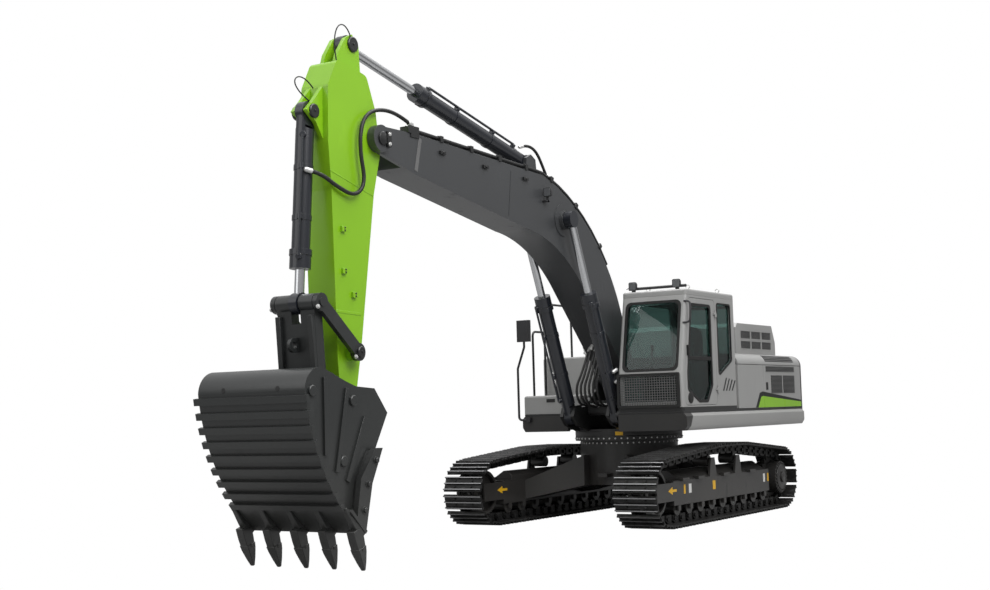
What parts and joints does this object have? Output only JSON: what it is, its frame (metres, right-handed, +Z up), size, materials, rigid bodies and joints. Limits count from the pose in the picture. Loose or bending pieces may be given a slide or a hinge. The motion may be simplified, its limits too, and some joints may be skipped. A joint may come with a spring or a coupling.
{
  "type": "crawler excavator",
  "caption": "Tracked digging machine with a turning house and cab, a bent boom, an arm and a toothed bucket, worked by rams and a bucket linkage.",
  "frame": {"origin": "on the ground under the slewing axis, midway between the tracks", "axes": "+X forward along the tracks towards the bucket, +Y to the cab side, +Z up"},
  "size_m": [11.5566, 3.192, 5.672],
  "materials": {
    "boom_paint": "satin",
    "arm_paint": "gloss",
    "bucket_paint": "satin",
    "body_paint": "satin",
    "hood_paint": "satin",
    "frame_paint": "satin",
    "counterweight_iron": "satin",
    "chassis_paint": "satin",
    "wheel_iron": "satin",
    "track_steel": "worn",
    "ring_steel": "machined",
    "ram_paint": "gloss",
    "rod_chrome": "polished",
    "window_glass": "tinted",
    "seat_fabric": "woven",
    "console_plastic": "moulded",
    "engine_metal": "cast"
  },
  "bodies": {
    "undercarriage": {"car_body": "chassis_paint", "track_frame_left": "chassis_paint", "track_frame_right": "chassis_paint", "track_left": "track_steel", "track_right": "track_steel", "idlers": "wheel_iron", "sprockets": "chassis_paint", "bottom_rollers": "wheel_iron", "carrier_rollers": "wheel_iron", "slew_ring_lower": "ring_steel", "tow_eyes": "chassis_paint"},
    "house": {"slew_ring_upper": "ring_steel", "centre_frame": "frame_paint", "deck_plates": "frame_paint", "skirts": "body_paint", "counterweight": "counterweight_iron", "engine_block": "engine_metal", "bay_posts": "frame_paint", "bay_decks": "body_paint", "bay_bulkhead": "body_paint", "fuel_tank": "body_paint", "step_box": "body_paint", "valve_block": "frame_paint", "cab_floor": "frame_paint", "cab_frame": "body_paint", "cab_roof": "body_paint", "cab_glass": "window_glass", "operator_seat": "seat_fabric", "control_consoles": "console_plastic", "front_guard": "frame_paint", "handrails": "frame_paint", "mirror": "frame_paint", "roof_lamps": "console_plastic", "air_cleaner": "console_plastic"},
    "cab_door": {"cab_door": "body_paint", "door_glass": "window_glass"},
    "left_front_door": {"left_front_door": "body_paint"},
    "left_rear_door": {"left_rear_door": "body_paint"},
    "right_door": {"right_door": "body_paint"},
    "engine_hood": {"engine_hood": "hood_paint"},
    "boom": {"boom": "boom_paint"},
    "boom_ram_barrels": {"boom_ram_barrels": "ram_paint"},
    "boom_ram_rods": {"boom_ram_rods": "rod_chrome"},
    "arm": {"arm": "arm_paint"},
    "arm_ram_barrel": {"arm_ram_barrel": "ram_paint"},
    "arm_ram_rod": {"arm_ram_rod": "rod_chrome"},
    "bucket": {"bucket": "bucket_paint", "bucket_teeth": "bucket_paint"},
    "bucket_ram_barrel": {"bucket_ram_barrel": "ram_paint"},
    "bucket_ram_rod": {"bucket_ram_rod": "rod_chrome"},
    "idler_links": {"idler_links": "bucket_paint"},
    "bucket_link": {"bucket_link": "bucket_paint", "lifting_eye": "bucket_paint"}
  },
  "joints": [
    {"name": "swing", "type": "hinge", "parent": "undercarriage", "child": "house", "pos_m": [0, 0, 1.16], "axis": [0, 0, 1], "continuous": true},
    {"name": "boom_lift", "type": "hinge", "parent": "house", "child": "boom", "pos_m": [0.28, 0, 2], "axis": [0, -1, 0], "range_deg": [-60, 40]},
    {"name": "arm_swing", "type": "hinge", "parent": "boom", "child": "arm", "pos_m": [6.17, 0, 4.55], "axis": [0, -1, 0], "range_deg": [-34, 70]},
    {"name": "bucket_curl", "type": "hinge", "parent": "arm", "child": "bucket", "pos_m": [6.72, 0, 1.72], "axis": [0, -1, 0], "range_deg": [-132, 25]},
    {"name": "cab_door_hinge", "type": "hinge", "parent": "house", "child": "cab_door", "pos_m": [0.215, 1.516, 2.28], "axis": [0, 0, 1], "range_deg": [0, 160]},
    {"name": "left_front_door_hinge", "type": "hinge", "parent": "house", "child": "left_front_door", "pos_m": [-1.497, 1.5, 1.875], "axis": [0, 0, 1], "range_deg": [0, 90]},
    {"name": "left_rear_door_hinge", "type": "hinge", "parent": "house", "child": "left_rear_door", "pos_m": [-3.029, 1.5, 1.875], "axis": [0, 0, 1], "range_deg": [0, 105]},
    {"name": "right_door_hinge", "type": "hinge", "parent": "house", "child": "right_door", "pos_m": [-3.029, -1.5, 1.875], "axis": [0, 0, -1], "range_deg": [0, 105]},
    {"name": "engine_hood_hinge", "type": "hinge", "parent": "house", "child": "engine_hood", "pos_m": [-2.92, 0, 2.2903], "axis": [0, -1, 0], "range_deg": [0, 60]},
    {"name": "boom_ram_tilt", "type": "hinge", "parent": "house", "child": "boom_ram_barrels", "pos_m": [1.04, 0, 1.45], "axis": [0, -1, 0], "range_deg": [-62, 42]},
    {"name": "boom_ram_stroke", "type": "slide", "parent": "boom_ram_barrels", "child": "boom_ram_rods", "axis": [0.3956, 0, 0.9184], "range_m": [-0.89, 0.6]},
    {"name": "arm_ram_tilt", "type": "hinge", "parent": "boom", "child": "arm_ram_barrel", "pos_m": [2.72, 0, 4.76], "axis": [0, -1, 0], "range_deg": [-3, 5]},
    {"name": "arm_ram_stroke", "type": "slide", "parent": "arm_ram_barrel", "child": "arm_ram_rod", "axis": [0.9778, 0, 0.2097], "range_m": [-1.15, 0.56]},
    {"name": "idler_link_swing", "type": "hinge", "parent": "arm", "child": "idler_links", "pos_m": [6.671, 0, 2.211], "axis": [0, -1, 0], "range_deg": [-90, 18]},
    {"name": "bucket_link_swing", "type": "hinge", "parent": "bucket", "child": "bucket_link", "pos_m": [7.21, 0, 1.87], "axis": [0, -1, 0], "range_deg": [-16, 81]},
    {"name": "bucket_ram_tilt", "type": "hinge", "parent": "arm", "child": "bucket_ram_barrel", "pos_m": [7.12, 0, 4.72], "axis": [0, -1, 0], "range_deg": [-1, 2]},
    {"name": "bucket_ram_stroke", "type": "slide", "parent": "bucket_ram_barrel", "child": "bucket_ram_rod", "axis": [0.0773, 0, -0.997], "range_m": [-0.21, 1.09]}
  ],
  "couplings": [
    {"joint": "boom_ram_tilt", "follows": "boom_lift", "ratio": 0.98478},
    {"joint": "boom_ram_stroke", "follows": "boom_lift", "m_per_rad": 0.83717},
    {"joint": "arm_ram_tilt", "follows": "arm_swing", "ratio": 0.05004},
    {"joint": "arm_ram_stroke", "follows": "arm_swing", "m_per_rad": -0.93257},
    {"joint": "idler_link_swing", "follows": "bucket_curl", "ratio": 0.6694},
    {"joint": "bucket_link_swing", "follows": "bucket_curl", "ratio": -0.60437},
    {"joint": "bucket_ram_tilt", "follows": "bucket_curl", "ratio": -0.00793},
    {"joint": "bucket_ram_stroke", "follows": "bucket_curl", "m_per_rad": -0.46946}
  ]
}
